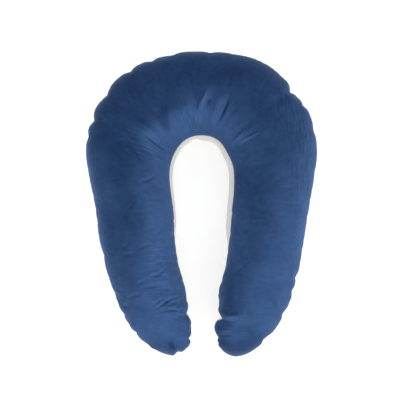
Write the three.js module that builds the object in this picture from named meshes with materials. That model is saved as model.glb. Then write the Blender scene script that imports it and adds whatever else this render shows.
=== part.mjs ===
// A horseshoe pregnancy pillow: a velvet front panel and a cotton back panel, both cut to one U-shaped
// outline, sewn together all round and stuffed. It lies on its back with the velvet up, the arch towards
// +Y and the two arms towards -Y. Each panel is a solid that takes in the stuffing between it and the seam.
// Millimetres, +Z up, origin on the floor under the middle of the outline.
import * as THREE from "three";

// Driving dimensions
const SEAM_HEIGHT = 74; // outer seam above the floor where the pillow is fullest
const INNER_LIFT = 8; // how much higher the inner seam lies there
const CROWN_RISE = 88; // top of the velvet above the seam there
const TIP_SEAM_SHARE = 0.85; // seam height at the arm tips, as a share of SEAM_HEIGHT
const FLAT_SHARE = 0.46; // share of the width that lies flat on the floor
const FLOOR_FILL = 0.7; // the back reaches the floor where a section is at least this full
const SWELL_ROUND = 0.6; // power of the swell's sine: under 1 it rolls out close under the seam
const TIP_SWING = 7; // both arm tips lie this far towards +X
const SWING_START = 60; // the swing grows between these distances on the arms' side of the origin
const SWING_END = 330;
const SEAM_GAP = 0.3; // between the two solids

// Mesh steps
const STATIONS_PER_SECTION = 6;
const FRONT_STEPS = 18; // across the velvet, from the outer seam to the inner one
const WALL_STEPS = 5; // across each side of the back, from a seam to the floor
const FLAT_STEPS = 2; // across the part of the back that lies on the floor
const BACK_STEPS = 2 * WALL_STEPS + FLAT_STEPS;

// One arm's sections from the middle of the arch to the tip: where the chord between the seams ends, and
// how full the section is. The other arm mirrors them.
const SECTIONS = [
  { outerX: 0, outerY: 399, innerX: 0, innerY: 179, fill: 1.0 },
  { outerX: 75, outerY: 393, innerX: 14, innerY: 178, fill: 1.0 },
  { outerX: 147, outerY: 372, innerX: 29, innerY: 174, fill: 1.0 },
  { outerX: 211, outerY: 334, innerX: 46, innerY: 164, fill: 1.0 },
  { outerX: 260, outerY: 276, innerX: 62, innerY: 146, fill: 1.0 },
  { outerX: 290, outerY: 210, innerX: 76, innerY: 120, fill: 1.0 },
  { outerX: 301, outerY: 140, innerX: 85, innerY: 86, fill: 1.0 },
  { outerX: 294, outerY: 70, innerX: 86, innerY: 45, fill: 0.99 },
  { outerX: 281, outerY: -5, innerX: 80, innerY: -10, fill: 0.97 },
  { outerX: 269, outerY: -80, innerX: 74, innerY: -80, fill: 0.95 },
  { outerX: 255, outerY: -155, innerX: 63, innerY: -150, fill: 0.93 },
  { outerX: 235, outerY: -226, innerX: 47, innerY: -220, fill: 0.9 },
  { outerX: 206, outerY: -291, innerX: 39, innerY: -284, fill: 0.85 },
  { outerX: 171, outerY: -343, innerX: 32, innerY: -334, fill: 0.75 },
  { outerX: 128, outerY: -383, innerX: 45, innerY: -376, fill: 0.5 },
  { outerX: 82, outerY: -400, innerX: 82, innerY: -400, fill: 0 },
];
const TIP = SECTIONS.length - 1;

// How far the back swells past the inner seam, by section number (negative on the -X arm).
const BACK_SWELL = [
  { at: -9.4, out: 0 },
  { at: -8.2, out: 11 },
  { at: -5, out: 14 },
  { at: -2.6, out: 15 },
  { at: -1.5, out: 10 },
  { at: 0.4, out: 16 },
  { at: 2.2, out: 17 },
  { at: 5, out: 21 },
  { at: 8.6, out: 19 },
  { at: 9.8, out: 0 },
];

// Gathers along the seams: which seam, the section number (negative on the -X arm), how deep the stitching
// draws the seam in (negative swells out), half the gather's span in sections, and how far up the side it
// reaches, in radians from the seam.
const GATHERS = [
  { seam: "outer", at: -13.46, depth: 3, span: 0.15, reach: 0.5 },
  { seam: "outer", at: -12.77, depth: 6, span: 0.17, reach: 0.6 },
  { seam: "outer", at: -12.35, depth: -6, span: 0.8, reach: 1.0 },
  { seam: "outer", at: -11.93, depth: 4, span: 0.17, reach: 0.5 },
  { seam: "outer", at: -9.7, depth: 3, span: 0.3, reach: 0.6 },
  { seam: "outer", at: -5.5, depth: 4, span: 0.17, reach: 0.4 },
  { seam: "outer", at: -4.86, depth: 8, span: 0.19, reach: 0.6 },
  { seam: "outer", at: -3.83, depth: 6, span: 0.3, reach: 0.8 },
  { seam: "outer", at: -2.65, depth: 7, span: 0.2, reach: 0.6 },
  { seam: "outer", at: -1.79, depth: 7, span: 0.22, reach: 0.6 },
  { seam: "outer", at: -0.99, depth: 4, span: 0.22, reach: 0.5 },
  { seam: "outer", at: 0.33, depth: 3, span: 0.18, reach: 0.4 },
  { seam: "outer", at: 2.2, depth: -3, span: 0.7, reach: 0.9 },
  { seam: "outer", at: 3.62, depth: 13, span: 0.21, reach: 0.8 },
  { seam: "outer", at: 4.25, depth: 6, span: 0.17, reach: 0.5 },
  { seam: "outer", at: 5.25, depth: 3, span: 0.2, reach: 0.4 },
  { seam: "outer", at: 10.5, depth: 5, span: 0.17, reach: 0.5 },
  { seam: "outer", at: 10.98, depth: 4, span: 0.17, reach: 0.5 },
  { seam: "outer", at: 11.88, depth: 4, span: 0.18, reach: 0.5 },
  { seam: "outer", at: 13.23, depth: 6, span: 0.18, reach: 0.6 },
  { seam: "inner", at: -13.35, depth: 7, span: 0.17, reach: 0.6 },
  { seam: "inner", at: -12.04, depth: 7, span: 0.2, reach: 0.8 },
  { seam: "inner", at: -7.5, depth: -4, span: 1.8, reach: 1.2 },
  { seam: "inner", at: 12.28, depth: 12, span: 0.22, reach: 1.0 },
  { seam: "inner", at: 12.75, depth: -4, span: 0.35, reach: 0.8 },
  { seam: "inner", at: 13.3, depth: 5, span: 0.19, reach: 0.6 },
];

// Main folds of the velvet: the middle in plan, the turn of the fold's line from +X in degrees, its
// length, half its breadth, and its height (negative is a trough).
const FOLDS = [
  { x: 5, y: 274, turn: 69, length: 70, breadth: 9, height: 5 },
  { x: 24, y: 276, turn: 69, length: 60, breadth: 8, height: -4 },
  { x: -16, y: 222, turn: 72, length: 60, breadth: 8, height: -4 },
  { x: 41, y: 246, turn: 72, length: 80, breadth: 9, height: 5 },
  { x: 56, y: 238, turn: 72, length: 90, breadth: 8, height: -6 },
  { x: 120, y: 170, turn: 29, length: 70, breadth: 9, height: 5 },
  { x: -112, y: 158, turn: -37, length: 80, breadth: 8, height: -7 },
  { x: -150, y: 190, turn: -40, length: 60, breadth: 12, height: 5 },
  { x: -97, y: 208, turn: -62, length: 60, breadth: 9, height: -5 },
  { x: -128, y: 70, turn: 8, length: 50, breadth: 8, height: -5 },
  { x: -126, y: 84, turn: 10, length: 60, breadth: 9, height: 4 },
  { x: -115, y: -114, turn: 12, length: 110, breadth: 10, height: -4 },
  { x: -97, y: -143, turn: 33, length: 55, breadth: 8, height: -5 },
  { x: -132, y: -180, turn: 12, length: 70, breadth: 9, height: -5 },
  { x: -86, y: -259, turn: 30, length: 70, breadth: 8, height: -8 },
  { x: -76, y: -283, turn: 4, length: 70, breadth: 8, height: -8 },
  { x: -196, y: -268, turn: 50, length: 45, breadth: 9, height: -5 },
  { x: -74, y: -374, turn: 62, length: 40, breadth: 9, height: -6 },
  { x: 84, y: -304, turn: -4, length: 80, breadth: 9, height: -9 },
  { x: 72, y: -343, turn: -4, length: 60, breadth: 8, height: -6 },
  { x: 150, y: -341, turn: 50, length: 45, breadth: 9, height: -6 },
];

// A Catmull-Rom curve through p1 at t = 0 and p2 at t = 1.
function spline(p0, p1, p2, p3, t) {
  const bend = 2 * p0 - 5 * p1 + 4 * p2 - p3;
  const twist = 3 * (p1 - p2) + p3 - p0;
  return p1 + 0.5 * t * (p2 - p0 + t * (bend + t * twist));
}

// A seam's point in the table, also before its first row, on the other arm, and past its last row, where
// one seam runs into the other round the tip.
function seamRow(k, seam) {
  if (k < 0) {
    const mirrored = seamRow(-k, seam);
    return { x: -mirrored.x, y: mirrored.y };
  }
  if (k > TIP) return seamRow(2 * TIP - k, seam === "outer" ? "inner" : "outer");
  return { x: SECTIONS[k][seam + "X"], y: SECTIONS[k][seam + "Y"] };
}

// Which span of the table a section number lies in, and how far along it.
function spanOf(section) {
  const distance = Math.abs(section);
  const first = Math.min(Math.floor(distance), TIP - 1);
  return { first, t: distance - first };
}

// A seam's place in plan at a section number, before it is gathered.
function seamAt(section, seam) {
  const { first, t } = spanOf(section);
  const [p0, p1, p2, p3] = [-1, 0, 1, 2].map((step) => seamRow(first + step, seam));
  const x = spline(p0.x, p1.x, p2.x, p3.x, t);
  const y = spline(p0.y, p1.y, p2.y, p3.y, t);
  const swing = TIP_SWING * THREE.MathUtils.smoothstep(-y, SWING_START, SWING_END);
  return new THREE.Vector3((section < 0 ? -x : x) + swing, y, 0);
}

// How full the pillow is at a section number: 1 at the arch, 0 at the tips.
function fillAt(section) {
  const { first, t } = spanOf(section);
  const row = (k) => (k > TIP ? -SECTIONS[2 * TIP - k].fill : SECTIONS[Math.abs(k)].fill);
  return spline(row(first - 1), row(first), row(first + 1), row(first + 2), t);
}

// How far the back swells at a section number: it eases from row to row of the table, and stops at its ends.
function swellAt(section) {
  const next = BACK_SWELL.findIndex((row) => row.at > section);
  if (next < 1) return 0;
  const [from, to] = [BACK_SWELL[next - 1], BACK_SWELL[next]];
  return from.out + (to.out - from.out) * THREE.MathUtils.smoothstep(section, from.at, to.at);
}

// One section of the pillow: its seams, the heights there, and the way from the inner seam to the outer.
function sectionAt(section) {
  const fill = fillAt(section);
  const outer = seamAt(section, "outer");
  const inner = seamAt(section, "inner");
  outer.z = SEAM_HEIGHT * (TIP_SEAM_SHARE + (1 - TIP_SEAM_SHARE) * fill);
  inner.z = outer.z + INNER_LIFT * fill;
  const outward = new THREE.Vector3(outer.x - inner.x, outer.y - inner.y, 0).normalize();
  const reach = Math.min(1, fill / FLOOR_FILL);
  return { section, outer, inner, outward, rise: CROWN_RISE * fill, reach, swell: fill * swellAt(section) };
}

// How much the gathers move a point that lies these angles from the two seams, along its normal. A gather
// is a trough with a low swell on both sides.
function gatherRelief(section, angles) {
  return GATHERS.reduce((sum, gather) => {
    const along = ((section - gather.at) / gather.span) ** 2;
    const up = (angles[gather.seam] / gather.reach) ** 2;
    return sum - gather.depth * (1 - along / 2) * Math.exp(-along / 2 - up);
  }, 0);
}

// How much the folds raise the velvet over a place in plan.
function foldRelief(x, y) {
  return FOLDS.reduce((sum, fold) => {
    const turn = THREE.MathUtils.degToRad(fold.turn);
    const [dx, dy] = [x - fold.x, y - fold.y];
    const along = (dx * Math.cos(turn) + dy * Math.sin(turn)) / (fold.length / 2);
    const across = (dy * Math.cos(turn) - dx * Math.sin(turn)) / fold.breadth;
    return sum + fold.height * Math.exp(-(along ** 2) - across ** 2);
  }, 0);
}

// A point of the velvet: half an ellipse over the chord from the outer seam (step 0) to the inner one.
function frontPoint(cut, step) {
  const angle = (Math.PI * step) / FRONT_STEPS;
  const point = cut.outer.clone().lerp(cut.inner, (1 - Math.cos(angle)) / 2);
  const up = Math.sin(angle);
  point.z += cut.rise * up + SEAM_GAP;
  const angles = { outer: angle, inner: Math.PI - angle };
  const relief = gatherRelief(cut.section, angles) + foldRelief(point.x, point.y) * up;
  point.addScaledVector(cut.outward, relief * Math.cos(angle));
  point.z += relief * up;
  return point;
}

// A point of the back: down a quarter ellipse from the outer seam (step 0), flat along the floor, and up
// a quarter ellipse that swells past the inner seam.
function backPoint(cut, step) {
  const fromInner = step > WALL_STEPS + FLAT_STEPS;
  const toSeam = fromInner ? BACK_STEPS - step : step;
  const angle = (Math.min(1, toSeam / WALL_STEPS) * Math.PI) / 2;
  const wall = ((1 - FLAT_SHARE) / 2) * (1 - Math.cos(angle));
  const onFloor = Math.max(0, toSeam - WALL_STEPS) * (FLAT_SHARE / FLAT_STEPS);
  const across = fromInner ? 1 - wall : wall + onFloor;
  const point = cut.outer.clone().lerp(cut.inner, across);
  point.z *= 1 - cut.reach * Math.sin(angle);
  const angles = fromInner ? { outer: Math.PI, inner: angle } : { outer: angle, inner: Math.PI };
  const relief = gatherRelief(cut.section, angles) * Math.cos(angle);
  const swell = fromInner ? -cut.swell * Math.max(0, Math.sin(2 * angle)) ** SWELL_ROUND : 0;
  return point.addScaledVector(cut.outward, (fromInner ? -relief : relief) + swell);
}

// A closed solid from a panel's points: its surface between the tips, and a ruled face from seam to seam.
function panelSolid(pointAt, steps, facesUp) {
  const stations = 2 * TIP * STATIONS_PER_SECTION;
  const positions = [];
  for (let i = 1; i < stations; i++) {
    const cut = sectionAt(i / STATIONS_PER_SECTION - TIP);
    for (let j = 0; j <= steps; j++) positions.push(...pointAt(cut, j).toArray());
  }
  const firstTip = positions.length / 3;
  for (const section of [-TIP, TIP]) positions.push(...pointAt(sectionAt(section), 0).toArray());

  const index = [];
  const face = (a, b, c) => index.push(...(facesUp ? [a, b, c] : [a, c, b]));
  const at = (i, j) => (i - 1) * (steps + 1) + (j % (steps + 1));
  for (let j = 0; j <= steps; j++) {
    // The last step closes the ring from the inner seam straight back to the outer one.
    face(firstTip, at(1, j + 1), at(1, j));
    face(at(stations - 1, j), at(stations - 1, j + 1), firstTip + 1);
    for (let i = 1; i < stations - 1; i++) {
      face(at(i, j), at(i, j + 1), at(i + 1, j));
      face(at(i, j + 1), at(i + 1, j + 1), at(i + 1, j));
    }
  }
  const solid = new THREE.BufferGeometry();
  solid.setAttribute("position", new THREE.Float32BufferAttribute(positions, 3));
  solid.setIndex(index);
  solid.computeVertexNormals();
  return solid;
}

function panel(name, geometry, color, roughness) {
  const mesh = new THREE.Mesh(geometry, new THREE.MeshStandardMaterial({ color, roughness, metalness: 0 }));
  mesh.name = name;
  return mesh;
}

const pillow = new THREE.Group();
pillow.add(panel("velvet_front", panelSolid(frontPoint, FRONT_STEPS, true), 0x2b4876, 0.8));
pillow.add(panel("cotton_back", panelSolid(backPoint, BACK_STEPS, false), 0xe6e4de, 0.9));

export default pillow;
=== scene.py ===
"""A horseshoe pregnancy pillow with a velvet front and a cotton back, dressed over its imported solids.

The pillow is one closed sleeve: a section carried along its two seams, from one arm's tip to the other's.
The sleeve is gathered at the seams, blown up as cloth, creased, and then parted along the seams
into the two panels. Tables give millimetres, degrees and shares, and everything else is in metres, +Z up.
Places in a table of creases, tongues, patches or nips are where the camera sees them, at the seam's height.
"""
import math
from types import SimpleNamespace

import bpy
import numpy as np
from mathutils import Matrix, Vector


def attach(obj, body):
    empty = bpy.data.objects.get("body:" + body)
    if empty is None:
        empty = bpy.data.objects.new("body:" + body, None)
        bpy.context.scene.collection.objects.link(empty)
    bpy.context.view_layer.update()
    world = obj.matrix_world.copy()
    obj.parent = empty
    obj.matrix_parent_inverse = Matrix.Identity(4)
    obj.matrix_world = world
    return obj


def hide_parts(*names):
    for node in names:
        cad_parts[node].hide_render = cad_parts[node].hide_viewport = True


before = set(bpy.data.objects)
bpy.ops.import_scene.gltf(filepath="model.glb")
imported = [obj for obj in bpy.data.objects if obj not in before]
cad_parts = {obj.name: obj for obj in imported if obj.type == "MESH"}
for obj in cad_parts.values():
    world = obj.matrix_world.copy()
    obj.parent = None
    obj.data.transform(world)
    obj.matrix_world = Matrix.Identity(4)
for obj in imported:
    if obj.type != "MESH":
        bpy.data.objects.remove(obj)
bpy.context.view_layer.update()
MM = 0.001
TINY = 1e-12  # stands in for a length of nothing where a vector is divided by its length
CHANCE = np.random.default_rng(58)  # settles the small puckers and lumps


def table(columns, *rows):
    """Rows of numbers, read by the names of their columns."""
    return np.array(list(rows), dtype=[(name, float) for name in columns.split()])


# The camera looks straight down, as in the photograph
PICTURE = 400  # pixels across the photograph
MIDDLE_PIXEL = (201.5, 204)  # where the pillow's middle lies in it
PILLOW_LENGTH = 800 * MM
LENGTH_PIXELS = 304  # pixels that the pillow's length takes up
PIXEL = PILLOW_LENGTH / LENGTH_PIXELS  # one pixel's width at the height of the seam
CAMERA_RISE = 1.6  # above the seam
CAMERA_MIDDLE = ((PICTURE / 2 - MIDDLE_PIXEL[0]) * PIXEL, (MIDDLE_PIXEL[1] - PICTURE / 2) * PIXEL)
SENSOR = 36.0  # Blender's sensor width, millimetres

# The stuffed form
SEAM_HEIGHT = 74 * MM  # outer seam above the floor where the pillow is fullest
INNER_LIFT = 8 * MM  # how much higher the inner seam lies there
CROWN_RISE = 88 * MM  # top of the velvet above the seam there
TIP_SEAM_SHARE = 0.85  # seam height at the arm tips, as a share of SEAM_HEIGHT
FLAT_SHARE = 0.46  # share of the width that lies flat on the floor
FLOOR_FILL = 0.7  # the back reaches the floor where a section is at least this full
TIP_SWING = 7 * MM  # both arm tips lie this far towards +X
SWING_START = 60 * MM  # the swing grows between these distances on the arms' side of the origin
SWING_END = 330 * MM
VELVET_LIFT = 0.15 * MM  # how far the velvet lies above the cotton along the seam

# Steps of the finished sleeve
STATIONS = 714
FRONT_STEPS = 135  # across the velvet, from the outer seam to the inner one
WALL_STEPS = 33  # across each side of the back, from a seam to the floor
FLAT_STEPS = 15  # across the part of the back that lies on the floor
# The blown-up cloth has fewer stations, and one step for so many of those across
BLANK_STATIONS = 204
STEP_SKIP = 3

# One arm's sections from the middle of the arch to the tip: where the chord between the seams ends, and how
# full the section is. The other arm mirrors them.
SECTIONS = table(
    "outer_x outer_y inner_x inner_y fill",
    (0, 399, 0, 179, 1.0),
    (75, 393, 14, 178, 1.0),
    (147, 372, 29, 174, 1.0),
    (211, 334, 46, 164, 1.0),
    (260, 276, 62, 146, 1.0),
    (290, 210, 76, 120, 1.0),
    (301, 140, 85, 86, 1.0),
    (294, 70, 86, 45, 0.99),
    (281, -5, 80, -10, 0.97),
    (269, -80, 74, -80, 0.95),
    (255, -155, 63, -150, 0.93),
    (235, -226, 47, -220, 0.9),
    (206, -291, 39, -284, 0.85),
    (171, -343, 32, -334, 0.75),
    (128, -383, 45, -376, 0.5),
    (82, -400, 82, -400, 0),
)
TIP = len(SECTIONS) - 1

# How far the back swells past the inner seam, by section number
BACK_SWELL = table(
    "at out",
    (-9.5, 0), (-8.3, 11), (-5, 15), (-2.6, 15), (-1.5, 11), (0.4, 18), (2.2, 17), (5, 20),
    (8.7, 19), (9.75, 0),
)
SWELL_ROUND = 0.6  # power of the swell's sine: under 1 it rolls out close under the seam

# Gathers at each seam: the section number, how deep the stitching draws the seam in (negative swells out),
# half the span in sections, and how far up the side it reaches, in radians from the seam
GATHERS = {
    "outer": table(
        "at depth span reach",
        (-13.46, 3, 0.15, 0.5),
        (-12.77, 6, 0.17, 0.6),
        (-12.35, -6, 0.8, 1.0),
        (-11.93, 4, 0.17, 0.5),
        (-9.7, 3, 0.3, 0.6),
        (-5.5, 4, 0.17, 0.4),
        (-4.86, 8, 0.19, 0.6),
        (-3.83, 6, 0.3, 0.8),
        (-2.65, 7, 0.2, 0.6),
        (-1.79, 7, 0.22, 0.6),
        (-0.99, 4, 0.22, 0.5),
        (0.33, 3, 0.18, 0.4),
        (2.2, -3, 0.7, 0.9),
        (3.62, 13, 0.21, 0.8),
        (4.25, 6, 0.17, 0.5),
        (5.25, 3, 0.2, 0.4),
        (10.5, 5, 0.17, 0.5),
        (10.98, 4, 0.17, 0.5),
        (11.88, 4, 0.18, 0.5),
        (13.23, 6, 0.18, 0.6),
    ),
    "inner": table(
        "at depth span reach",
        (-13.35, 7, 0.17, 0.6),
        (-12.04, 7, 0.2, 0.8),
        (-7.5, -4, 1.8, 1.2),
        (12.28, 12, 0.22, 1.0),
        (12.75, -3, 0.35, 0.8),
        (13.3, 3, 0.19, 0.6),
    ),
}

WIDE_GATHER = 0.4  # from this span on a gather is a soft trough or swell, without a nip
TROUGH_SHARE = 0.6  # share of a narrow gather's depth in its soft trough
NIP_SHARE = 0.6  # and in the sharp nip at its bottom
NIP_SPAN = 0.55  # a nip falls off within this share of the gather's span,
NIP_REACH = 0.6  # and within this share of its reach up the side

# Folds of the velvet that fan out from the inner seam: the section number, the depth (negative stands up),
# half the span in sections, and where it is deepest and how far it reaches both ways from there, in radians
PULLS = table(
    "at depth span peak reach",
    (-5.2, 1.5, 0.2, 0.9, 0.35),
    (-4.15, -3.0, 0.35, 1.15, 0.35),
    (-3.1, 2.5, 0.25, 1.12, 0.3),
    (-2.0, -3.0, 0.5, 1.05, 0.4),
    (-0.9, 2.0, 0.25, 0.75, 0.3),
    (1.1, -3.0, 0.3, 1.05, 0.4),
    (1.55, 2.5, 0.25, 1.05, 0.4),
    (2.7, -1.5, 0.3, 0.9, 0.35),
    (3.6, 1.5, 0.22, 0.95, 0.32),
)

# Creases of the velvet, as bowed lines: both ends, how far the middle bows to the left of the way from start
# to end, the depth (negative stands up) and half the width, and the height of the lip along the left side
CREASES = table(
    "x0 y0 x1 y1 bow depth width lip",
    # round the arch
    (36, 202, 70, 282, -2, 3.6, 5.5, 2.0),
    (-10, 243, 13, 299, 0, -3.0, 6.0, 0.0),
    (16, 260, 21, 282, 0, 2.5, 4.0, 0.0),
    (-25, 197, -8, 230, 0, 2.5, 5.0, 1.5),
    (9, 210, 9, 242, 0, 1.5, 4.0, 0.0),
    (-150, 185, -85, 136, -2, 5.0, 3.5, 3.0),
    (-109, 224, -84, 186, 2, 2.5, 7.0, 0.0),
    (109, 192, 80, 157, 0, -1.0, 4.0, 0.0),
    (149, 189, 100, 162, 0, -1.1, 4.0, 0.0),
    # the upper arms
    (-194, 176, -150, 108, -3, 1.2, 4.0, 0.6),
    (-170, 184, -132, 116, -3, 1.4, 4.0, 0.6),
    (-152, 164, -112, 106, -3, 1.4, 4.0, 0.8),
    (-120, 76, -162, 58, 3, 1.5, 3.5, 0.0),
    (-175, 8, -209, -24, 2, 0.35, 3.0, 0.15),
    (-180, -22, -146, -20, -1, 0.7, 5.0, 0.0),
    (215, 4, 287, -4, 0, 1.0, 3.5, 0.5),
    (172, -34, 196, -82, 2, 1.0, 4.0, 0.5),
    # the left arm's cross wrinkles
    (-213, -114, -196, -112, 0, 0.8, 4.0, 0.2),
    (-213, -135, -176, -129, -1, 0.8, 4.0, 0.2),
    (-167, -118, -142, -107, 0, 0.9, 4.0, 0.2),
    (-133, -148, -114, -140, 1, 1.3, 3.0, 0.8),
    (-122, -159, -104, -150, 1, 1.3, 3.0, 0.8),
    (-100, -160, -84, -148, 1, 2.0, 3.0, 1.0),
    (-130, -190, -92, -165, -5, 2.3, 3.2, 1.3),
    (-170, -211, -149, -203, 1, 1.5, 3.0, 0.8),
    (-157, -220, -108, -211, -2, 1.4, 4.0, 0.8),
    (-192, -247, -162, -240, 2, 1.4, 4.0, 0.6),
    (-204, -262, -196, -276, 0, 2.5, 6.0, 0.0),
    # the left tip
    (-129, -267, -95, -247, 2, 1.5, 3.0, 1.0),
    (-114, -271, -60, -243, 3, 2.8, 3.5, 2.0),
    (-87, -265, -63, -259, 2, 2.5, 4.0, 1.0),
    (-106, -280, -43, -286, 5, 2.5, 3.5, 2.0),
    (-55, -271, -43, -285, -1, 3.0, 4.0, 0.0),
    (-65, -293, -39, -301, 2, 1.5, 3.0, 0.8),
    (-90, -360, -71, -384, 0, 3.5, 7.0, 1.5),
    # the right tip
    (54, -298, 99, -295, 2, -3.5, 6.0, 0.0),
    (60, -304, 86, -303, 0, 1.0, 2.5, 0.5),
    (46, -311, 86, -309, 1, 1.3, 3.0, 0.7),
    (46, -329, 82, -328, 1, 1.3, 3.0, 0.7),
    (46, -338, 80, -337, 1, 1.2, 3.0, 0.6),
    (44, -347, 78, -345, 2, 1.7, 3.5, 0.8),
)

CREASE_TAPER = 1.35  # a crease runs on past its ends until it is this much longer, and fades all the way
LIP_PLACE = 2  # a lip is highest this many half widths from the middle of its crease
BOW_RUN_ON = 2  # a bow runs on past the ends of its line, up to this square of the way from the middle

# How strongly the outer and the inner seam pucker, by section number
PUCKERS = {
    "outer": table(
        "at strength",
        (-15, 0.8), (-12, 0.5), (-10, 0.1), (-7, 0.05), (-5, 0.3), (0, 0.15),
        (4, 0.3), (6, 0.1), (9, 0.05), (11, 0.4), (15, 0.8),
    ),
    "inner": table(
        "at strength",
        (-15, 0.8), (-12, 0.35), (-9.5, 0.2), (-7, 0.1), (0, 0.1), (7, 0.1),
        (10, 0.1), (12, 0.5), (15, 0.8),
    ),
}
PUCKER_PITCH = 17 * MM  # mean distance between puckers along a seam
PUCKER_DEPTH = 2.0 * MM
PUCKER_HALF_WIDTH = 4.5 * MM
PUCKER_REACH = 0.3  # radians up the side
# Chance picks each pucker's place within its pitch, and its share of the depth, the width and the reach
PUCKER_PLACES = (0.1, 0.9)
PUCKER_DEPTHS = (0.2, 1.2)
PUCKER_WIDTHS = (0.7, 1.4)
PUCKER_REACHES = (0.5, 1.6)
SEAM_GROOVE = 1.6 * MM  # how far the stitching draws both cloths in along the whole seam
GROOVE_REACH = 0.07  # radians
SEAM_ROLL = 1.6 * MM  # how far the velvet rolls out beside it
ROLL_REACH = 0.16  # radians
FULL_RELIEF = 0.5  # relief is at its full height where a section is at least this full

# Painted light on the pile: lighter on slopes that lean one way, as the lying pile catches the light, and in
# patches
PAINTED_LIGHT_TURN = -70  # that way, near the key light's, in degrees from +X, seen from above
PAINTED_SLOPE_LIGHT = 0.52  # how much lighter the painted light makes the pile
SLOPE_LIGHT_TURNOVER = 3.0  # how soon: a slope of 1 in this number takes most of it
NAP_AND_LIGHT_MOST = 0.53  # the lightest and darkest that painted light and the patches make it
NAP_AND_LIGHT_BEND = 4  # how late the shade bends back to that: the power of its root
PAINTED_FOLD_SHADE = 0.55  # painted shade: how much lighter the creases' own slopes are painted

# Patches of brushed pile and of painted light and shade, as soft ovals: the middle, half the length and half
# the width, the turn of the length in degrees from +X, and how much lighter the pile is
BRUSHED_AND_LIT_PATCHES = table(
    "x y long wide turn amount",
    # round the arch
    (-118, 176, 30, 14, -18, 0.25),
    (-160, 245, 50, 26, 38, -0.2),
    (-206, 296, 60, 36, 48, -0.1),
    (-50, 213, 34, 27, 80, 0.25),
    (17, 271, 6, 4, 60, -0.35),
    (-50, 257, 42, 18, 8, -0.22),
    (-96, 250, 18, 14, 0, -0.2),
    (95, 172, 34, 12, 35, 0.2),
    (-104, 253, 80, 32, 40, -0.32),
    (-40, 276, 42, 22, 35, -0.15),
    (62, 286, 16, 12, 68, -0.33),
    (24, 322, 46, 22, 0, -0.15),
    (160, 248, 75, 40, -45, -0.3),
    (112, 214, 45, 30, -35, -0.28),
    (90, 256, 34, 28, 70, -0.18),
    (136, 166, 40, 18, 0, -0.15),
    (132, 113, 36, 14, 5, 0.15),
    (-158, 131, 40, 20, -65, -0.3),
    # the arms; the narrow light ovals along their edges are painted rim highlights
    (-215, 105, 80, 38, -80, -0.28),
    (-84, 90, 110, 16, 92, 0.3),
    (-184, 112, 34, 22, -70, -0.18),
    (-155, -38, 40, 22, -80, -0.18),
    (-185, -50, 120, 44, -84, -0.27),
    (-297, 70, 120, 12, -82, 0.4),
    (-264, -110, 110, 14, -78, 0.3),
    (-112, -140, 150, 52, -83, 0.42),
    (206, 92, 95, 52, 80, -0.2),
    (252, 115, 110, 20, 83, -0.14),
    (264, -60, 60, 12, 80, 0.25),
    (174, -42, 70, 24, 85, -0.12),
    (64, -150, 110, 10, 83, 0.3),
    (-76, -115, 150, 20, -80, 0.45),
    (50, -238, 40, 12, 80, 0.3),
    (92, -90, 120, 30, 84, 0.46),
    (130, -235, 80, 50, 70, 0.16),
    # the tips
    (76, -318, 44, 20, 5, 0.5),
    (-155, -256, 34, 26, 20, 0.15),
    (-98, -318, 60, 30, -10, 0.25),
    (-45, -303, 20, 14, 0, 0.35),
    (-84, -384, 60, 26, -5, -0.55),
    (-122, -380, 26, 16, -30, -0.25),
    (58, -380, 36, 18, -45, -0.3),
    (112, -378, 76, 30, 25, -0.6),
    (135, -340, 30, 14, -30, -0.15),
)

# Tongues with clear edges, of brushed pile, and of painted shade in the left tip's crease: the root and the
# tip, how far the middle bows to the left, half the width at the root, how soft the left and the right edge
# are, and how much lighter the pile is
TONGUES = table(
    "x0 y0 x1 y1 bow wide left right amount",
    # round the arch
    (-106, 242, -80, 182, 0, 19, 3, 8, -0.4),
    (-12, 296, -10, 246, 0, 11, 2, 9, -0.3),
    (-8, 222, 18, 305, 3, 8, 2, 4, 0.5),
    (32, 196, 66, 266, 4, 6, 6, 2, 0.35),
    (22, 238, 25, 184, 0, 6, 4, 4, -0.15),
    (-112, 172, -153, 207, 0, 6, 3, 3, 0.4),
    (-118, 168, -160, 189, 0, 5, 3, 3, 0.4),
    (-96, 186, -133, 215, 0, 6, 3, 4, 0.3),
    (100, 158, 152, 188, 2, 5, 2, 4, 0.3),
    (94, 164, 114, 196, 0, 5, 3, 4, 0.2),
    # the left tip, with painted shade in its crease
    (-88, -358, -64, -391, 0, 10, 5, 4, -0.35),
)
# Along a tongue, from -1 at its root to 1 at its tip: where it fades in, and where it fades out
TONGUE_ROOT = (-1.5, -0.5)
TONGUE_TIP = (0.6, 1.2)

# Stretches with fine wrinkles across the sleeve, drawn in the colour as painted shade and in the bump, and
# with fine ribs upright in the picture, as soft ovals
WRINKLED = table(
    "x y long wide turn amount",
    (10, 226, 80, 40, 0, 0.7),
    (-150, 150, 50, 40, -60, 0.8),
    (-115, -170, 70, 44, -80, 0.9),
    (-80, -268, 44, 30, 0, 0.8),
    (66, -315, 40, 34, 0, 1.0),
)
COMBED = table(
    "x y long wide turn amount",
    (252, 205, 120, 42, -65, 0.8),
    (262, 70, 90, 34, 85, 0.7),
)

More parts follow.
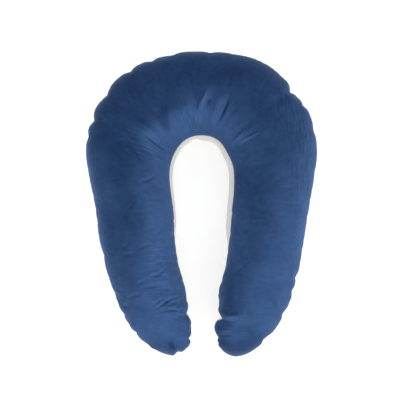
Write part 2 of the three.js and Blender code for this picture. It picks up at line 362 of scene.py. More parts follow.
# Places where the stitching nips the outline or lets it out: which way the cloth moves there, in degrees
# from +X, how far, and how far round the place it is felt
NIPS = table(
    "x y turn move reach",
    # the arch
    (-104, 391, -75, 3.5, 15),
    (-86, 394, -75, 2.0, 12),
    (-166, 370, -60, 2.0, 15),
    (-216, 336, -55, 1.5, 15),
    (212, 327, -125, 4.5, 30),
    (260, 283, -140, 6.5, 15),
    (4, 400, -90, 2.0, 60),
    (175, 362, -115, 1.5, 35),
    # the arms
    (-282, 0, 0, 3.5, 80),
    (72, 132, 215, 2.5, 25),
    (84, 60, 180, 1.5, 35),
    (-80, 10, 0, 1.5, 50),
    (-70, -55, 0, 3.0, 40),
    (47, -232, 180, 5.0, 35),
    # the tips
    (-196, -314, 40, 3.5, 15),
    (-62, -396, 95, 7.0, 8),
    (-79, -399, -80, 0.5, 8),
    (-102, -392, 70, 2.5, 25),
    (-45, -389, 110, 2.0, 14),
    (85, -400, -90, 2.0, 30),
    (42, -312, 120, 4.5, 10),
    (52, -384, 225, 1.5, 22),
    (-22, -332, 180, 3.5, 18),
    (175, -350, 130, 3.0, 16),
    (140, -375, 120, 1.5, 25),
)

LUMPS = 90  # soft unevenness of the stuffing
LUMP_HEIGHT = 1.6 * MM
LUMP_SPANS = (0.4, 1.1)  # half a lump's span along the sleeve, in sections
LUMP_WIDTHS = (0.25, 0.6)  # and round it, in radians

# The blown-up cloth
FRAMES = 20
SOLVER_STEPS = 6  # in each frame
CLOTH_MASS = 0.3  # of each point
STRETCHING = 20  # stiffness against stretching and squeezing,
SHEARING = 10  # against shearing
BENDING = 0.3  # and against bending
PRESSURE = 4.0
SPARE_CLOTH = 0.028  # how much longer than the sleeve the cloth is cut at its most puckered stretches
SPARE_REACH = 0.75  # radians up the side
WEIGHT_LEVELS = 20  # steps between no weight and full weight in a vertex group
ON_FLOOR = -0.999  # a column of the section that is this far down lies on the floor
MOST_MOVED = 4.5 * MM  # no point moves further than this when the cloth is blown up
BACK_GIVE = 0.25  # share of those moves that the back keeps


def smoothstep(value, low, high):
    """From 0 at the low value to 1 at the high one, with a slow start and a slow end: 3 squares less 2 cubes
    of the share of the way."""
    share = np.clip((value - low) / (high - low), 0, 1)
    return share**2 * (3 - 2 * share)


def eased(rows, value, at):
    """A column read at section numbers: it runs from row to row with a slow start and a slow end."""
    row = np.clip(np.searchsorted(rows["at"], at, side="right") - 1, 0, len(rows) - 2)
    share = smoothstep(at, rows["at"][row], rows["at"][row + 1])
    return rows[value][row] + (rows[value][row + 1] - rows[value][row]) * share


def trough(far):
    """A trough's profile against the distance from its middle, in half spans: 1 in the middle, with a low
    swell on both sides, as a bell times 1 less half the square of the distance."""
    return (1 - far**2 / 2) * np.exp(-(far**2) / 2)


def roll(far):
    """A roll's profile against the distance: it rises from 0 to 1 at a distance of 1, and dies away past it,
    as the distance times an exponential."""
    return far * np.exp(1 - far)


def spline_weights(t):
    """The four weights of a Catmull-Rom curve at share t between its two middle points."""
    return 0.5 * np.stack(
        [-t + 2 * t**2 - t**3, 2 - 5 * t**2 + 3 * t**3, t + 4 * t**2 - 3 * t**3, t**3 - t**2]
    )


def carried(column, past_tip, mirror, at):
    """A table column read at section numbers as a Catmull-Rom curve. Past the last row it runs on through
    `past_tip` backwards, and the -X arm has the same numbers times `mirror`."""
    arm = np.concatenate([column, past_tip[TIP - 1 : TIP - 3 : -1]])
    knots = np.concatenate([mirror * arm[:0:-1], arm])
    first = np.clip(np.floor(at).astype(int), -TIP, TIP - 1)
    weights = spline_weights(at - first)
    return sum(weights[step] * knots[first + TIP + 1 + step] for step in range(4))


def seam_line(seam, other, at):
    """A seam's plan points, swung towards +X at the arms' tips."""
    x = carried(SECTIONS[seam + "_x"], SECTIONS[other + "_x"], -1, at) * MM
    y = carried(SECTIONS[seam + "_y"], SECTIONS[other + "_y"], 1, at) * MM
    return np.stack([x + TIP_SWING * smoothstep(-y, SWING_START, SWING_END), y, 0 * x], axis=-1)


def unit(vectors):
    """Vectors of the same directions with a length of 1, or of 0 where they have none."""
    return vectors / np.maximum(np.linalg.norm(vectors, axis=-1, keepdims=True), TINY)


def cuts(at):
    """The sleeve's sections at section numbers: both seams, the way from the inner to the outer one, and
    how far the section rises, reaches down to the floor and swells."""
    fill = carried(SECTIONS["fill"], -SECTIONS["fill"], 1, at)
    outer = seam_line("outer", "inner", at)
    inner = seam_line("inner", "outer", at)
    outward = unit(outer - inner)
    outer[:, 2] = SEAM_HEIGHT * (TIP_SEAM_SHARE + (1 - TIP_SEAM_SHARE) * fill)
    inner[:, 2] = outer[:, 2] + INNER_LIFT * fill
    return SimpleNamespace(
        at=at,
        outer=outer,
        inner=inner,
        outward=outward,
        rise=CROWN_RISE * fill,
        reach=np.minimum(1, fill / FLOOR_FILL),
        swell=eased(BACK_SWELL, "out", at) * MM * fill,
    )


def ring(front_steps, wall_steps, flat_steps):
    """The columns of one closed section: over the velvet from the outer seam to the inner one, as half an
    ellipse, then a quarter ellipse down, along the floor, and a quarter ellipse up again under the back.
    `across` is the share of the chord, `up` the share of the rise or, negative, of the way down to the
    floor, `side` the part of a normal that points out of the sleeve's bend, and `angle` the turn from each
    seam, which is half a turn along the floor and on the other seam's side of the back."""
    front = np.linspace(0, np.pi, front_steps + 1)
    down = np.linspace(0, np.pi / 2, wall_steps + 1)
    wall = (1 - FLAT_SHARE) / 2 * (1 - np.cos(down))
    rolled = np.maximum(np.sin(2 * down), 0) ** SWELL_ROUND
    flat = np.linspace(0, 1, flat_steps + 1)[1:-1]
    along_floor = 1 - wall[-1] - FLAT_SHARE * flat
    back = slice(1, None)
    climb = slice(wall_steps, 0, -1)
    rest = np.full(len(flat), np.pi / 2)
    far = np.pi
    return SimpleNamespace(
        velvet=front_steps,
        across=np.concatenate([(1 - np.cos(front)) / 2, (1 - wall)[back], along_floor, wall[climb]]),
        up=np.concatenate([np.sin(front), -np.sin(down)[back], -np.sin(rest), -np.sin(down)[climb]]),
        side=np.concatenate([np.cos(front), -np.cos(down)[back], np.cos(rest), np.cos(down)[climb]]),
        swell=np.concatenate([0 * front, rolled[back], 0 * rest, 0 * down[climb]]),
        angle={
            "outer": np.concatenate([front, far + 0 * down[back], far + 0 * rest, down[climb]]),
            "inner": np.concatenate([far - front, down[back], far + 0 * rest, far + 0 * down[climb]]),
        },
    )


def gathered(cut, columns):
    """How far the gathers move each point along its normal: a trough with a low swell on both sides, which
    fades up the side, and in its bottom a sharp nip at the seam, which falls off evenly both ways and fades
    sooner. A wide gather has the trough alone."""
    relief = 0
    for seam, rows in GATHERS.items():
        along = np.abs(cut.at[:, None] - rows["at"]) / rows["span"]
        up = (columns.angle[seam] / rows["reach"][:, None]) ** 2
        narrow = rows["span"] < WIDE_GATHER
        soft = trough(along) * np.where(narrow, TROUGH_SHARE, 1)
        sharp = np.exp(-along / NIP_SPAN) * np.where(narrow, NIP_SHARE, 0)
        relief = relief - (rows["depth"] * soft) @ np.exp(-up)
        relief = relief - (rows["depth"] * sharp) @ np.exp(-up / NIP_REACH**2)
    return relief * MM


def sleeve(cut, columns):
    """The stuffed sleeve: each section's ring is laid along the chord between its seams, and then raised,
    lowered to the floor, gathered, and swollen past the inner seam."""
    chord = cut.inner - cut.outer
    points = cut.outer[:, None] + columns.across[:, None] * chord[:, None]
    over = np.maximum(columns.up, 0)
    under = np.maximum(-columns.up, 0)
    relief = gathered(cut, columns)
    points[..., 2] *= 1 - cut.reach[:, None] * under
    points[..., 2] += (cut.rise[:, None] + relief) * over
    sideways = relief * columns.side - cut.swell[:, None] * columns.swell
    return points + sideways[..., None] * cut.outward[:, None]


def closed_faces(stations, columns):
    """Quads of a ring carried along stations, closed round, and triangles from its first and last ring to
    two more points."""
    row = np.arange(stations - 1)[:, None] * columns
    here = np.arange(columns)
    there = (here + 1) % columns
    corners = [row + here, row + there, row + columns + there, row + columns + here]
    quads = np.stack(corners, axis=-1).reshape(-1, 4)
    last = (stations - 1) * columns
    first_tip = np.full(columns, stations * columns)
    first_fan = np.stack([first_tip, there, here], axis=-1)
    last_fan = np.stack([last + here, last + there, first_tip + 1], axis=-1)
    return quads.tolist() + first_fan.tolist() + last_fan.tolist()


def weighted(piece, name, weights):
    """A vertex group with these weights, to the nearest of WEIGHT_LEVELS."""
    group = piece.vertex_groups.new(name=name)
    levels = np.round(weights * WEIGHT_LEVELS).astype(int)
    for level in range(1, WEIGHT_LEVELS + 1):
        group.add(np.flatnonzero(levels == level).tolist(), level / WEIGHT_LEVELS, "REPLACE")
    return group.name


def at_vertices(grid):
    """A grid as its mesh's vertices: the stations between the tips, then each tip once."""
    return np.concatenate([grid[1:-1].reshape(-1, *grid.shape[2:]), grid[[0, -1], 0]])


def blown_up(start, held, spare):
    """The grid after it is blown up as cloth: `held` points stay, and the cloth is cut longer where `spare`
    is 1. Its tips are single points, which are held and have no spare cloth."""
    stations, columns = start.shape[:2]
    vertices = at_vertices(start)
    mesh = bpy.data.meshes.new("blank")
    mesh.from_pydata(vertices, [], closed_faces(stations - 2, columns))
    piece = bpy.data.objects.new("blank", mesh)
    bpy.context.collection.objects.link(piece)
    at_tips = np.ones(2)
    pinned = weighted(piece, "held", np.concatenate([held[1:-1].ravel(), at_tips]))
    snug = weighted(piece, "snug", np.concatenate([1 - spare[1:-1].ravel(), at_tips]))

    cloth = piece.modifiers.new("stuffed", "CLOTH")
    cloth.collision_settings.use_collision = False
    cloth.point_cache.frame_start = 1
    cloth.point_cache.frame_end = FRAMES
    settings = cloth.settings
    settings.quality = SOLVER_STEPS
    settings.mass = CLOTH_MASS
    settings.tension_stiffness = STRETCHING
    settings.compression_stiffness = STRETCHING
    settings.shear_stiffness = SHEARING
    settings.bending_stiffness = BENDING
    settings.vertex_group_mass = pinned
    settings.vertex_group_shrink = snug
    settings.shrink_min = -SPARE_CLOTH
    settings.shrink_max = 0
    settings.use_pressure = True
    settings.uniform_pressure_force = PRESSURE
    settings.effector_weights.gravity = 0
    for moment in range(1, FRAMES + 1):
        bpy.context.scene.frame_set(moment)
    stuffed = piece.evaluated_get(bpy.context.evaluated_depsgraph_get()).data
    found = np.empty(len(vertices) * 3, dtype=np.float32)
    stuffed.vertices.foreach_get("co", found)
    bpy.context.scene.frame_set(1)
    bpy.data.objects.remove(piece)
    bpy.data.meshes.remove(mesh)

    found = found.reshape(-1, 3).astype(float)
    body = found[:-2].reshape(stations - 2, columns, 3)
    tips = np.repeat(found[-2:, None, :], columns, axis=1)
    return np.concatenate([tips[:1], body, tips[1:]])


def read_between(count, places, closed):
    """A matrix that reads `count` values at places between them, along a Catmull-Rom curve."""
    first = np.floor(places).astype(int)
    weights = spline_weights(places - first)
    matrix = np.zeros((len(places), count))
    for step in range(4):
        source = first + step - 1
        source = source % count if closed else np.clip(source, 0, count - 1)
        np.add.at(matrix, (np.arange(len(places)), source), weights[step])
    return matrix


def normals(points):
    """Unit normals of a grid that is closed round its columns, from the differences both ways."""
    along = np.gradient(points, axis=0)
    around = np.roll(points, -1, axis=1) - np.roll(points, 1, axis=1)
    return unit(np.cross(around, along))


def run_along(line):
    """Distance along a line of points, from its first."""
    steps = np.linalg.norm(np.diff(line, axis=0), axis=-1)
    return np.concatenate([[0], np.cumsum(steps)])


def puckered(cut, columns):
    """Small puckers at both seams, at uneven distances: troughs square to the seam that fade up both cloths
    as a bell, over the groove of the seam itself, and the velvet's roll beside it."""
    relief = 0
    for seam, line in (("outer", cut.outer), ("inner", cut.inner)):
        run = run_along(line)
        count = int(run[-1] / PUCKER_PITCH)
        place = (np.arange(count) + CHANCE.uniform(*PUCKER_PLACES, count)) * PUCKER_PITCH
        strength = eased(PUCKERS[seam], "strength", np.interp(place, run, cut.at))
        depth = PUCKER_DEPTH * strength * CHANCE.uniform(*PUCKER_DEPTHS, count)
        width = PUCKER_HALF_WIDTH * CHANCE.uniform(*PUCKER_WIDTHS, count)
        reach = PUCKER_REACH * CHANCE.uniform(*PUCKER_REACHES, count)
        along = (run[:, None] - place) / width
        up = columns.angle[seam] / reach[:, None]
        relief = relief - (trough(along) * depth) @ np.exp(-(up**2))
        relief = relief - SEAM_GROOVE * np.exp(-((columns.angle[seam] / GROOVE_REACH) ** 2))
        relief = relief + SEAM_ROLL * roll(columns.angle[seam] / ROLL_REACH) * (columns.up > 0)
    return relief


def lumpy(cut, columns):
    """Soft lumps of the stuffing: low hills and hollows at chance places on the velvet, each a bell."""
    place = CHANCE.uniform(-TIP, TIP, LUMPS)
    turn = CHANCE.uniform(0, np.pi, LUMPS)
    height = CHANCE.uniform(-1, 1, LUMPS) * LUMP_HEIGHT
    along = (cut.at[:, None] - place) / CHANCE.uniform(*LUMP_SPANS, LUMPS)
    around = (columns.angle["outer"] - turn[:, None]) / CHANCE.uniform(*LUMP_WIDTHS, LUMPS)[:, None]
    return (np.exp(-(along**2)) * height) @ (np.exp(-(around**2)) * np.maximum(columns.up, 0))


def pulled(cut, columns):
    """The folds that fan out from the inner seam: a trough with a low swell on both sides, deepest at its
    peak and nearly gone where it meets the seam."""
    along = (cut.at[:, None] - PULLS["at"]) / PULLS["span"]
    up = (columns.angle["inner"] - PULLS["peak"][:, None]) / PULLS["reach"][:, None]
    return -(trough(along) * PULLS["depth"] * MM) @ np.exp(-(up**2))


def along_stroke(stroke, x, y):
    """Places against a bowed line: how far along it, from -1 at its start to 1 at its end, and how far to
    its left, in metres. The bow is a parabola, full in the middle of the line and 0 at both ends."""
    dx, dy = (stroke["x1"] - stroke["x0"]) * MM, (stroke["y1"] - stroke["y0"]) * MM
    length = math.hypot(dx, dy)
    from_x, from_y = x - stroke["x0"] * MM, y - stroke["y0"] * MM
    along = 2 * (from_x * dx + from_y * dy) / length**2 - 1
    bowed = stroke["bow"] * MM * (1 - np.minimum(along**2, BOW_RUN_ON))
    return along, (from_y * dx - from_x * dy) / length - bowed


def creased(x, y):
    """The creases: bells across bowed lines that fade out to both ends, with a lip along the left side."""
    relief = np.zeros_like(x)
    for crease in CREASES:
        along, left = along_stroke(crease, x, y)
        fade = np.maximum(1 - (along / CREASE_TAPER) ** 2, 0) ** 2
        width = crease["width"] * MM
        hollow = crease["depth"] * np.exp(-((left / width) ** 2))
        lip = crease["lip"] * roll(np.maximum(left, 0) / (LIP_PLACE * width))
        relief += (lip - hollow) * MM * fade
    return relief


def nipped(points):
    """The sleeve with its nips: round each place both cloths move one way, and less with the distance, as a
    bell."""
    for nip in NIPS:
        x, y = seen(points)
        far = np.hypot(x - nip["x"] * MM, y - nip["y"] * MM) / (nip["reach"] * MM)
        turn = math.radians(nip["turn"])
        way = np.array([math.cos(turn), math.sin(turn), 0]) * nip["move"] * MM
        points = points + np.exp(-(far**2))[..., None] * way
    return points


def soft_cap(moves, most):
    """Moves kept under a length: short ones nearly as they are, and long ones bent back to it, by a
    hyperbolic tangent."""
    length = np.linalg.norm(moves, axis=-1, keepdims=True)
    return unit(moves) * most * np.tanh(length / most)


def stuffing_moves(stations, across):
    """How far the stuffing moves each point of a grid of so many stations and columns across: a coarser
    blank is blown up as cloth, with the seams and the floor held, and its moves, kept under MOST_MOVED and
    smaller on the back, are read between its points."""
    cut = cuts(np.linspace(-TIP, TIP, BLANK_STATIONS + 1))
    columns = ring(FRONT_STEPS // STEP_SKIP, WALL_STEPS // STEP_SKIP, FLAT_STEPS // STEP_SKIP)
    blank = sleeve(cut, columns)
    on_seam = (columns.angle["outer"] == 0) | (columns.angle["inner"] == 0)
    on_floor = columns.up < ON_FLOOR
    held = np.broadcast_to((on_seam | on_floor) * 1.0, blank.shape[:2])
    spare = 0
    for seam, rows in PUCKERS.items():
        strength = eased(rows, "strength", cut.at)[:, None]
        spare = spare + strength * np.exp(-((columns.angle[seam] / SPARE_REACH) ** 2))
    moves = soft_cap(blown_up(blank, held, spare) - blank, MOST_MOVED)
    moves *= np.where(columns.up < 0, BACK_GIVE, 1)[:, None]
    lengthways = read_between(len(blank), np.linspace(0, BLANK_STATIONS, stations), closed=False)
    crossways = read_between(blank.shape[1], np.arange(across) / STEP_SKIP, closed=True)
    return np.einsum("si,ijk,cj->sck", lengthways, moves, crossways)


def dressed_sleeve():
    """The finished sleeve as a grid of points, the stuffed form under its folds, and its sections and
    columns. Relief moves the points along the stuffed form's normals, but never below the floor."""
    cut = cuts(np.linspace(-TIP, TIP, STATIONS + 1))
    columns = ring(FRONT_STEPS, WALL_STEPS, FLAT_STEPS)
    stuffed = sleeve(cut, columns)
    stuffed = stuffed + stuffing_moves(*stuffed.shape[:2])
    folded = pulled(cut, columns) + creased(*seen(stuffed))
    relief = puckered(cut, columns) + lumpy(cut, columns) + folded * np.maximum(columns.up, 0)
    tapered = np.minimum(1, cut.rise / CROWN_RISE / FULL_RELIEF)[:, None]
    points = stuffed + normals(stuffed) * (relief * tapered)[..., None]
    points[..., 2] = np.maximum(points[..., 2], 0)
    points = nipped(points)
    points[[0, -1]] = points[[0, -1], :1]
    return points, stuffed, cut, columns


def run_across(points):
    """Distance across each section of a panel, from its first column."""
    steps = np.linalg.norm(np.diff(points, axis=1), axis=-1)
    return np.concatenate([np.zeros((len(points), 1)), np.cumsum(steps, axis=1)], axis=1)


def flat_maps(points, cut):
    """Two maps of a panel in metres: as it was cut from flat cloth, with each section unrolled to both
    sides of the middle line, and rolled out straight, with the way along that line and the way across."""
    across = run_across(points)
    across = across[:, -1:] / 2 - across
    middle = (cut.outer + cut.inner) / 2
    cut_out = middle[:, None] + across[..., None] * cut.outward[:, None]
    along = np.broadcast_to(run_along(middle)[:, None], across.shape)
    return {"pattern": cut_out[..., :2], "straight": np.stack([along, across], axis=-1)}


def seen(points):
    """Where the camera sees points, carried along its sight lines to the height of the seam."""
    nearer = CAMERA_RISE / (CAMERA_RISE + SEAM_HEIGHT - points[..., 2])
    return [middle + (points[..., side] - middle) * nearer for side, middle in enumerate(CAMERA_MIDDLE)]


def patches(rows, points):
    """Soft ovals on the sleeve, as the camera sees them: their amounts, each a bell both ways, added up."""
    x, y = seen(points)
    total = np.zeros_like(x)
    for patch in rows:
        turn = math.radians(patch["turn"])
        from_x, from_y = x / MM - patch["x"], y / MM - patch["y"]
        along = (from_x * math.cos(turn) + from_y * math.sin(turn)) / patch["long"]
        aside = (from_y * math.cos(turn) - from_x * math.sin(turn)) / patch["wide"]
        total += patch["amount"] * np.exp(-(along**2) - aside**2)
    return total


def tongued(x, y):
    """The tongues: each narrows evenly from its root to its tip, between a left and a right edge, and fades
    in at the root and out at the tip."""
    total = np.zeros_like(x)
    for tongue in TONGUES:
        along, left = along_stroke(tongue, x, y)
        half = tongue["wide"] * MM * np.clip((1 - along) / 2, 0, 1)
        inside_left = smoothstep((half - left) / MM, -tongue["left"], tongue["left"])
        inside_right = smoothstep((half + left) / MM, -tongue["right"], tongue["right"])
        fade = smoothstep(along, *TONGUE_ROOT) * (1 - smoothstep(along, *TONGUE_TIP))
        total += tongue["amount"] * inside_left * inside_right * fade
    return total


def painted_slope_shade(points):
    """Painted light on slopes: from 1 on slopes that lean towards the painted light's way to -1 on those
    that lean away, by a hyperbolic tangent, and near 0 on upright sides, by the root of the normal's height."""
    turn = math.radians(PAINTED_LIGHT_TURN)
    out = normals(points)
    lean = out @ np.array([math.cos(turn), math.sin(turn), 0])
    return np.tanh(SLOPE_LIGHT_TURNOVER * lean) * np.sqrt(np.maximum(out[..., 2], 0))


def painted_and_lain_nap(points, stuffed):
    """How much lighter the pile is painted: painted light and shade for the lean of the stuffed form, with
    the brushed and painted patches and the tongues, bent back to the most that it may be by a root, and then
    painted shade for the lean that the folds add."""
    smooth = painted_slope_shade(stuffed)
    broad = PAINTED_SLOPE_LIGHT * smooth + patches(BRUSHED_AND_LIT_PATCHES, points) + tongued(*seen(points))
    broad = broad / (1 + (broad / NAP_AND_LIGHT_MOST) ** NAP_AND_LIGHT_BEND) ** (1 / NAP_AND_LIGHT_BEND)
    return broad + PAINTED_FOLD_SHADE * (painted_slope_shade(points) - smooth)


def panel(name, points, cut, looks):
    """One panel as a closed shell: its grid, triangles to the two tips, and a hidden wall from seam to
    seam. The seams are sharp edges, and each of `looks` becomes an attribute."""
    stations, columns = len(points) - 2, points.shape[1]
    mesh = bpy.data.meshes.new(name)
    mesh.from_pydata(at_vertices(points), [], closed_faces(stations, columns))
    mesh.polygons.foreach_set("use_smooth", np.ones(len(mesh.polygons), dtype=bool))

    corners = np.empty(len(mesh.loops), dtype=np.int32)
    mesh.loops.foreach_get("vertex_index", corners)
    for label, grid in flat_maps(points, cut).items():
        places = at_vertices(grid)[corners].astype(np.float32)
        mesh.uv_layers.new(name=label).uv.foreach_set("vector", places.ravel())
    for label, grid in looks.items():
        values = at_vertices(grid).astype(np.float32)
        mesh.attributes.new(label, "FLOAT", "POINT").data.foreach_set("value", values)

    ends = np.empty(len(mesh.edges) * 2, dtype=np.int32)
    mesh.edges.foreach_get("vertices", ends)
    column = np.append(np.tile(np.arange(columns), stations), [0, 0])
    on_seam = (column[ends] % (columns - 1) == 0).reshape(-1, 2).all(axis=1)
    mesh.attributes.new("sharp_edge", "BOOLEAN", "EDGE").data.foreach_set("value", on_seam)

    piece = bpy.data.objects.new(name, mesh)
    bpy.context.collection.objects.link(piece)
    return piece


class Value:
    """What changes over a surface: a node's socket, whose arithmetic adds Math nodes to its finish."""

    def __init__(self, finish, socket):
        self.finish = finish
        self.socket = socket

    def worked(self, operation, *terms):
        """One Math node on these terms, which are values or numbers."""
        return self.finish.node("ShaderNodeMath", {"operation": operation}, dict(enumerate(terms)))

    def __add__(self, other):
        return self.worked("ADD", self, other)

    def __sub__(self, other):
        return self.worked("SUBTRACT", self, other)

    def __rsub__(self, other):
        return self.worked("SUBTRACT", other, self)

    def __mul__(self, other):
        return self.worked("MULTIPLY", self, other)

    __radd__ = __add__
    __rmul__ = __mul__


class Finish:
    """A material with a Principled shader, and the one way to add nodes to it."""

    def __init__(self, name):
        self.material = bpy.data.materials.new(name)
        self.material.use_nodes = True
        self.tree = self.material.node_tree
        self.shader = self.tree.nodes["Principled BSDF"]

    def put(self, sockets, values):
        """Links what varies to its socket, and writes a number or a colour into it."""
        for name, value in values.items():
            if isinstance(value, Value):
                self.tree.links.new(value.socket, sockets[name])
            else:
                sockets[name].default_value = value

    def node(self, kind, settings, values, output=0):
        """A node of this type: its settings, then the values or links of its sockets, and one output."""
        node = self.tree.nodes.new(kind)
        for name, setting in settings.items():
            setattr(node, name, setting)
        self.put(node.inputs, values)
        return Value(self, node.outputs[output])

    def shade(self, **values):
        """Puts values into the Principled shader, with _ for the spaces in its sockets' names."""
        self.put(self.shader.inputs, {name.replace("_", " "): value for name, value in values.items()})

    def look(self, label):
        """One of the panel's attributes."""
        return self.node("ShaderNodeAttribute", {"attribute_name": label}, {}, output="Fac")

    def noise(self, size, detail=2.0, squeeze=(1, 1), laid="pattern"):
        """Soft noise from 0 to 1 on one of the panel's maps, with lumps of this size in metres, or longer
        along a side whose squeeze is under 1."""
        place = self.node("ShaderNodeUVMap", {"uv_map": laid}, {})
        place = self.node("ShaderNodeMapping", {}, {"Vector": place, "Scale": (*squeeze, 1)})
        values = {"Vector": place, "Scale": 1 / size, "Detail": detail}
        return self.node("ShaderNodeTexNoise", {"noise_dimensions": "2D"}, values)

    def mixed(self, share, first, second):
        """A colour between two others: the first where the share is 0, the second where it is 1."""
        values = {0: share, 6: first, 7: second}
        return self.node("ShaderNodeMix", {"data_type": "RGBA"}, values, output=2)

    def bump(self, height, strength, distance):
        """A normal that makes a height of 1 look this distance high, in metres, at this strength."""
        values = {"Height": height, "Strength": strength, "Distance": distance}
        return self.node("ShaderNodeBump", {}, values)


NOISE_MEAN = 0.5

# The velvet's grain: the size of each kind of noise, and its share of the shade
PATCH_SIZE, PATCH_SHARE = 50 * MM, 0.3
MOTTLE_SIZE, MOTTLE_SHARE = 13 * MM, 0.2
STREAK_SIZE, STREAK_SHARE = 7 * MM, 0.16
PILE_SIZE, PILE_SHARE = 1.6 * MM, 0.15
# the wrinkles' light and dark in the colour are painted shade; the same wrinkles go into the bump
WRINKLE_SIZE, WRINKLE_SHARE = 5 * MM, 0.6
RIB_SIZE, RIB_SHARE = 5 * MM, 0.5
STREAK_SQUEEZE = (1, 0.22)  # streaks and wrinkles are longer across the sleeve,
WRINKLE_SQUEEZE = (1, 0.15)
RIB_SQUEEZE = (1, 0.12)  # and ribs up the picture
PLAIN_GRAIN = 1.1  # the grain's strength where neither painted light nor brushing changes the pile; pile that they make lighter shows it more
CONTRAST = 0.8  # how much of the way between the two colours the shade takes
MIDDLE_SHADE = 0.5  # pile that neither painted light nor brushing changes is half way between them
# the two ends of the velvet's colour: the shade between them is partly the pile's tone and partly painted
# light and shade
VELVET_DARK_SHADED = (0.0007, 0.0138, 0.056, 1)
VELVET_LIGHT_LIT = (0.0476, 0.109, 0.2628, 1)
VELVET_SHEEN = (0.42, 0.62, 1.0, 1)
PILE_BUMP = 0.5  # heights of the pile, and of the wrinkles and ribs, against each other
FINE_BUMP = 2.0

# The cotton's weave
THREAD = 1.4 * MM
THREAD_SQUEEZE = 0.12  # a thread's thick and thin stretches, width over length
TINT_SIZE = 45 * MM
TINT_SHARE = 0.6  # of the colour's unevenness; the weave makes the rest
COTTON_DARK = (0.77, 0.756, 0.72, 1)
COTTON_LIGHT = (0.85, 0.837, 0.804, 1)


def velvet_finish():
    """Short-pile velvet: its colour runs between dark and light by painted light and shade on its slopes and
    folds and by brushed pile, uneven by patches, mottling, streaks and the pile itself, which show more on
    lighter pile, with fine wrinkles, painted as shade in the colour, and ribs in the stretches that have
    them."""
    finish = Finish("velvet")
    patchy = finish.noise(PATCH_SIZE)
    mottled = finish.noise(MOTTLE_SIZE)
    pile = finish.noise(PILE_SIZE, detail=1.0)
    streaks = finish.noise(STREAK_SIZE, detail=1.0, squeeze=STREAK_SQUEEZE, laid="straight")
    wrinkles = finish.noise(WRINKLE_SIZE, detail=0.0, squeeze=WRINKLE_SQUEEZE, laid="straight") - NOISE_MEAN
    ribs = finish.noise(RIB_SIZE, detail=0.0, squeeze=RIB_SQUEEZE) - NOISE_MEAN
    fine = wrinkles * finish.look("wrinkled") * WRINKLE_SHARE + ribs * finish.look("combed") * RIB_SHARE
    uneven = patchy * PATCH_SHARE + mottled * MOTTLE_SHARE + streaks * STREAK_SHARE + pile * PILE_SHARE
    mean = (PATCH_SHARE + MOTTLE_SHARE + STREAK_SHARE + PILE_SHARE) * NOISE_MEAN
    grain = uneven + fine - mean
    # painted light and shade on the slopes and folds, with brushed and painted patches
    nap = finish.look("nap")
    shade = (nap + grain * (nap + PLAIN_GRAIN)) * CONTRAST + MIDDLE_SHADE
    finish.shade(
        Base_Color=finish.mixed(shade, VELVET_DARK_SHADED, VELVET_LIGHT_LIT),
        Roughness=0.95 - 0.15 * mottled,
        Specular_IOR_Level=0.1,
        Sheen_Weight=0.3,
        Sheen_Roughness=0.4,
        Sheen_Tint=VELVET_SHEEN,
        Normal=finish.bump(pile * PILE_BUMP + fine * FINE_BUMP, strength=0.25, distance=0.8 * MM),
    )
    return finish.material


def cotton_finish():
    """Plain-woven cotton: threads both ways, uneven in thickness, with a faint unbleached tint."""
    finish = Finish("cotton")
    warp = finish.noise(THREAD, detail=1.0, squeeze=(1, THREAD_SQUEEZE))
    weft = finish.noise(THREAD, detail=1.0, squeeze=(THREAD_SQUEEZE, 1))
    weave = warp * 0.5 + weft * 0.5
    tinted = finish.noise(TINT_SIZE)
    shade = tinted * TINT_SHARE + weave * (1 - TINT_SHARE)
    finish.shade(
        Base_Color=finish.mixed(shade, COTTON_DARK, COTTON_LIGHT),
        Roughness=0.85 + 0.1 * weave,
        Specular_IOR_Level=0.2,
        Sheen_Weight=0.1,
        Normal=finish.bump(weave, strength=0.3, distance=0.4 * MM),
    )
    return finish.material


# The studio: a pale floor that glows a little, an even room, and one broad key light
FLOOR_REACH = 60.0  # from the middle to each side
FLOOR_HEIGHT = -0.5 * MM
FLOOR_COLOUR = (0.84, 0.84, 0.84, 1)
FLOOR_GLOW = 0.3
WHITE = (1, 1, 1, 1)
ROOM_LIGHT = 1.0
KEY_TURN = -66  # degrees from +X, seen from above
KEY_RISE = 40  # degrees above the floor
KEY_DISTANCE = 3.4
KEY_SIZE = 2.6
KEY_POWER = 20  # watts


def camera_above():
    """The camera straight above the picture's middle, with the lens that sees its width at the seam."""
    camera = bpy.data.cameras.new("camera")
    camera.lens = SENSOR * CAMERA_RISE / (PICTURE * PIXEL)
    holder = bpy.data.objects.new("camera", camera)
    holder.location = (*CAMERA_MIDDLE, SEAM_HEIGHT + CAMERA_RISE)
    bpy.context.collection.objects.link(holder)
    bpy.context.scene.camera = holder


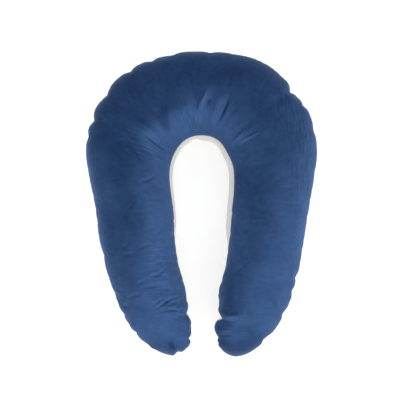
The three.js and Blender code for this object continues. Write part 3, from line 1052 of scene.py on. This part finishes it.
def studio():
    """A plain pale floor, a broad key light from the picture's lower right, and soft light all round."""
    floor_mesh = bpy.data.meshes.new("floor")
    sides = [(-1, -1), (1, -1), (1, 1), (-1, 1)]
    corners = [(x * FLOOR_REACH, y * FLOOR_REACH, FLOOR_HEIGHT) for x, y in sides]
    floor_mesh.from_pydata(corners, [], [(0, 1, 2, 3)])
    floor = bpy.data.objects.new("floor", floor_mesh)
    bpy.context.collection.objects.link(floor)
    pale = Finish("pale_floor")
    pale.shade(
        Base_Color=FLOOR_COLOUR,
        Roughness=0.9,
        Specular_IOR_Level=0.0,
        Emission_Color=WHITE,
        Emission_Strength=FLOOR_GLOW,
    )
    floor_mesh.materials.append(pale.material)

    world = bpy.data.worlds.new("soft_light")
    world.use_nodes = True
    light = world.node_tree.nodes["Background"].inputs
    light["Color"].default_value = WHITE
    light["Strength"].default_value = ROOM_LIGHT
    bpy.context.scene.world = world

    turn, rise = math.radians(KEY_TURN), math.radians(KEY_RISE)
    way = Vector((math.cos(turn) * math.cos(rise), math.sin(turn) * math.cos(rise), math.sin(rise)))
    lamp = bpy.data.lights.new("key", "AREA")
    lamp.size = KEY_SIZE
    lamp.energy = KEY_POWER
    holder = bpy.data.objects.new("key", lamp)
    holder.location = way * KEY_DISTANCE
    holder.rotation_euler = (-way).to_track_quat("-Z", "Y").to_euler()
    bpy.context.collection.objects.link(holder)
    bpy.context.scene.view_settings.view_transform = "Standard"


camera_above()
points, stuffed, cut, columns = dressed_sleeve()
over = np.arange(columns.velvet + 1)
under = np.append(np.arange(columns.velvet, points.shape[1]), 0)
# the velvet's attributes: painted light and shade with brushed patches, and where wrinkles and ribs lie
pile_and_light_looks = {
    "nap": painted_and_lain_nap(points, stuffed)[:, over],
    "wrinkled": patches(WRINKLED, points[:, over]),
    "combed": patches(COMBED, points[:, over]),
}
for node, part, lift, looks, material, slot in (
    ("velvet_front", over, VELVET_LIFT, pile_and_light_looks, velvet_finish(), "velvet"),
    ("cotton_back", under, 0, {}, cotton_finish(), "cotton"),
):
    piece = panel(node + "_cloth", points[:, part] + (0, 0, lift), cut, looks)
    piece.data.materials.append(material)
    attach(piece, "root")
    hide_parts(node)
studio()
